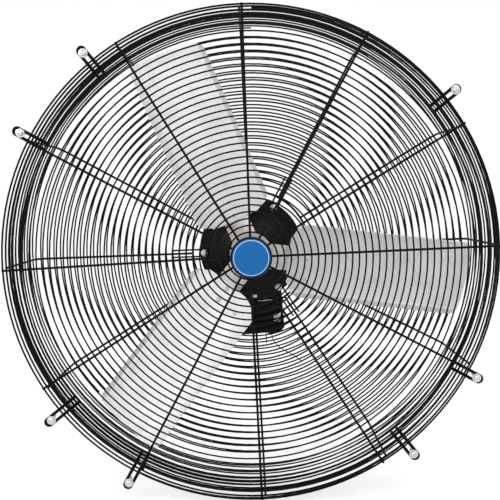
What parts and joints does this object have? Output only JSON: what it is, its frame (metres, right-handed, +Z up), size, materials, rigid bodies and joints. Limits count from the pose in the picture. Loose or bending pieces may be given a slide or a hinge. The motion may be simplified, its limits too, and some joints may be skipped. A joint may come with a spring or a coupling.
{
  "type": "axial exhaust fan",
  "caption": "Round wall exhaust fan: a propeller with flat lipped blades on a flange motor, between a flat spiral wire guard and a deep wire basket hung on wire loops.",
  "frame": {"origin": "on the fan axis, in the plane where the backs of the mounting loops bear on the wall", "axes": "+Y along the fan axis from the front guard to the motor, +Z up, +X to the right seen from the front"},
  "size_m": [0.851, 0.3222, 0.851],
  "materials": {
    "black_wire": "semi-gloss black coating",
    "black_motor": "satin black paint",
    "black_plastic": "matte",
    "blue_badge": "gloss",
    "zinc_steel": "zinc plated",
    "core_steel": "rolled",
    "bright_steel": "ground",
    "spider_steel": "rolled, satin",
    "blade_aluminium": "brushed along the blade",
    "lead_plastic": "matte"
  },
  "bodies": {
    "frame": {"badge_clamp": "zinc_steel", "badge_cup": "black_plastic", "badge_disc": "blue_badge", "cable_gland": "black_plastic", "front_guard_coil": "black_wire", "front_guard_hub_ring": "black_wire", "front_guard_spokes": "black_wire", "front_guard_stay_rings": "black_wire", "front_rim_ring": "black_wire", "junction_box": "black_motor", "junction_box_lid": "black_motor", "junction_box_neck": "black_motor", "lead_long": "lead_plastic", "main_fixing_screws": "zinc_steel", "motor_bolts": "zinc_steel", "motor_front_bell": "black_motor", "motor_loops": "black_wire", "motor_rear_bell": "black_motor", "motor_stator": "black_motor", "mounting_loops": "black_wire", "rear_guard_coil": "black_wire", "rear_guard_hub_ring": "black_wire", "rear_guard_spokes": "black_wire", "rear_guard_wall_turns": "black_wire", "rear_rim_ring": "black_wire", "shaft_bearings": "bright_steel"},
    "propeller": {"blade_1": "blade_aluminium", "blade_2": "blade_aluminium", "blade_3": "blade_aluminium", "blade_spider": "spider_steel", "motor_shaft": "bright_steel", "propeller_hub": "spider_steel", "rotor_core": "core_steel"}
  },
  "joints": [
    {"name": "propeller_turn", "type": "hinge", "parent": "frame", "child": "propeller", "pos_m": [0, 0.043, 0], "axis": [0, 1, 0], "continuous": true}
  ]
}
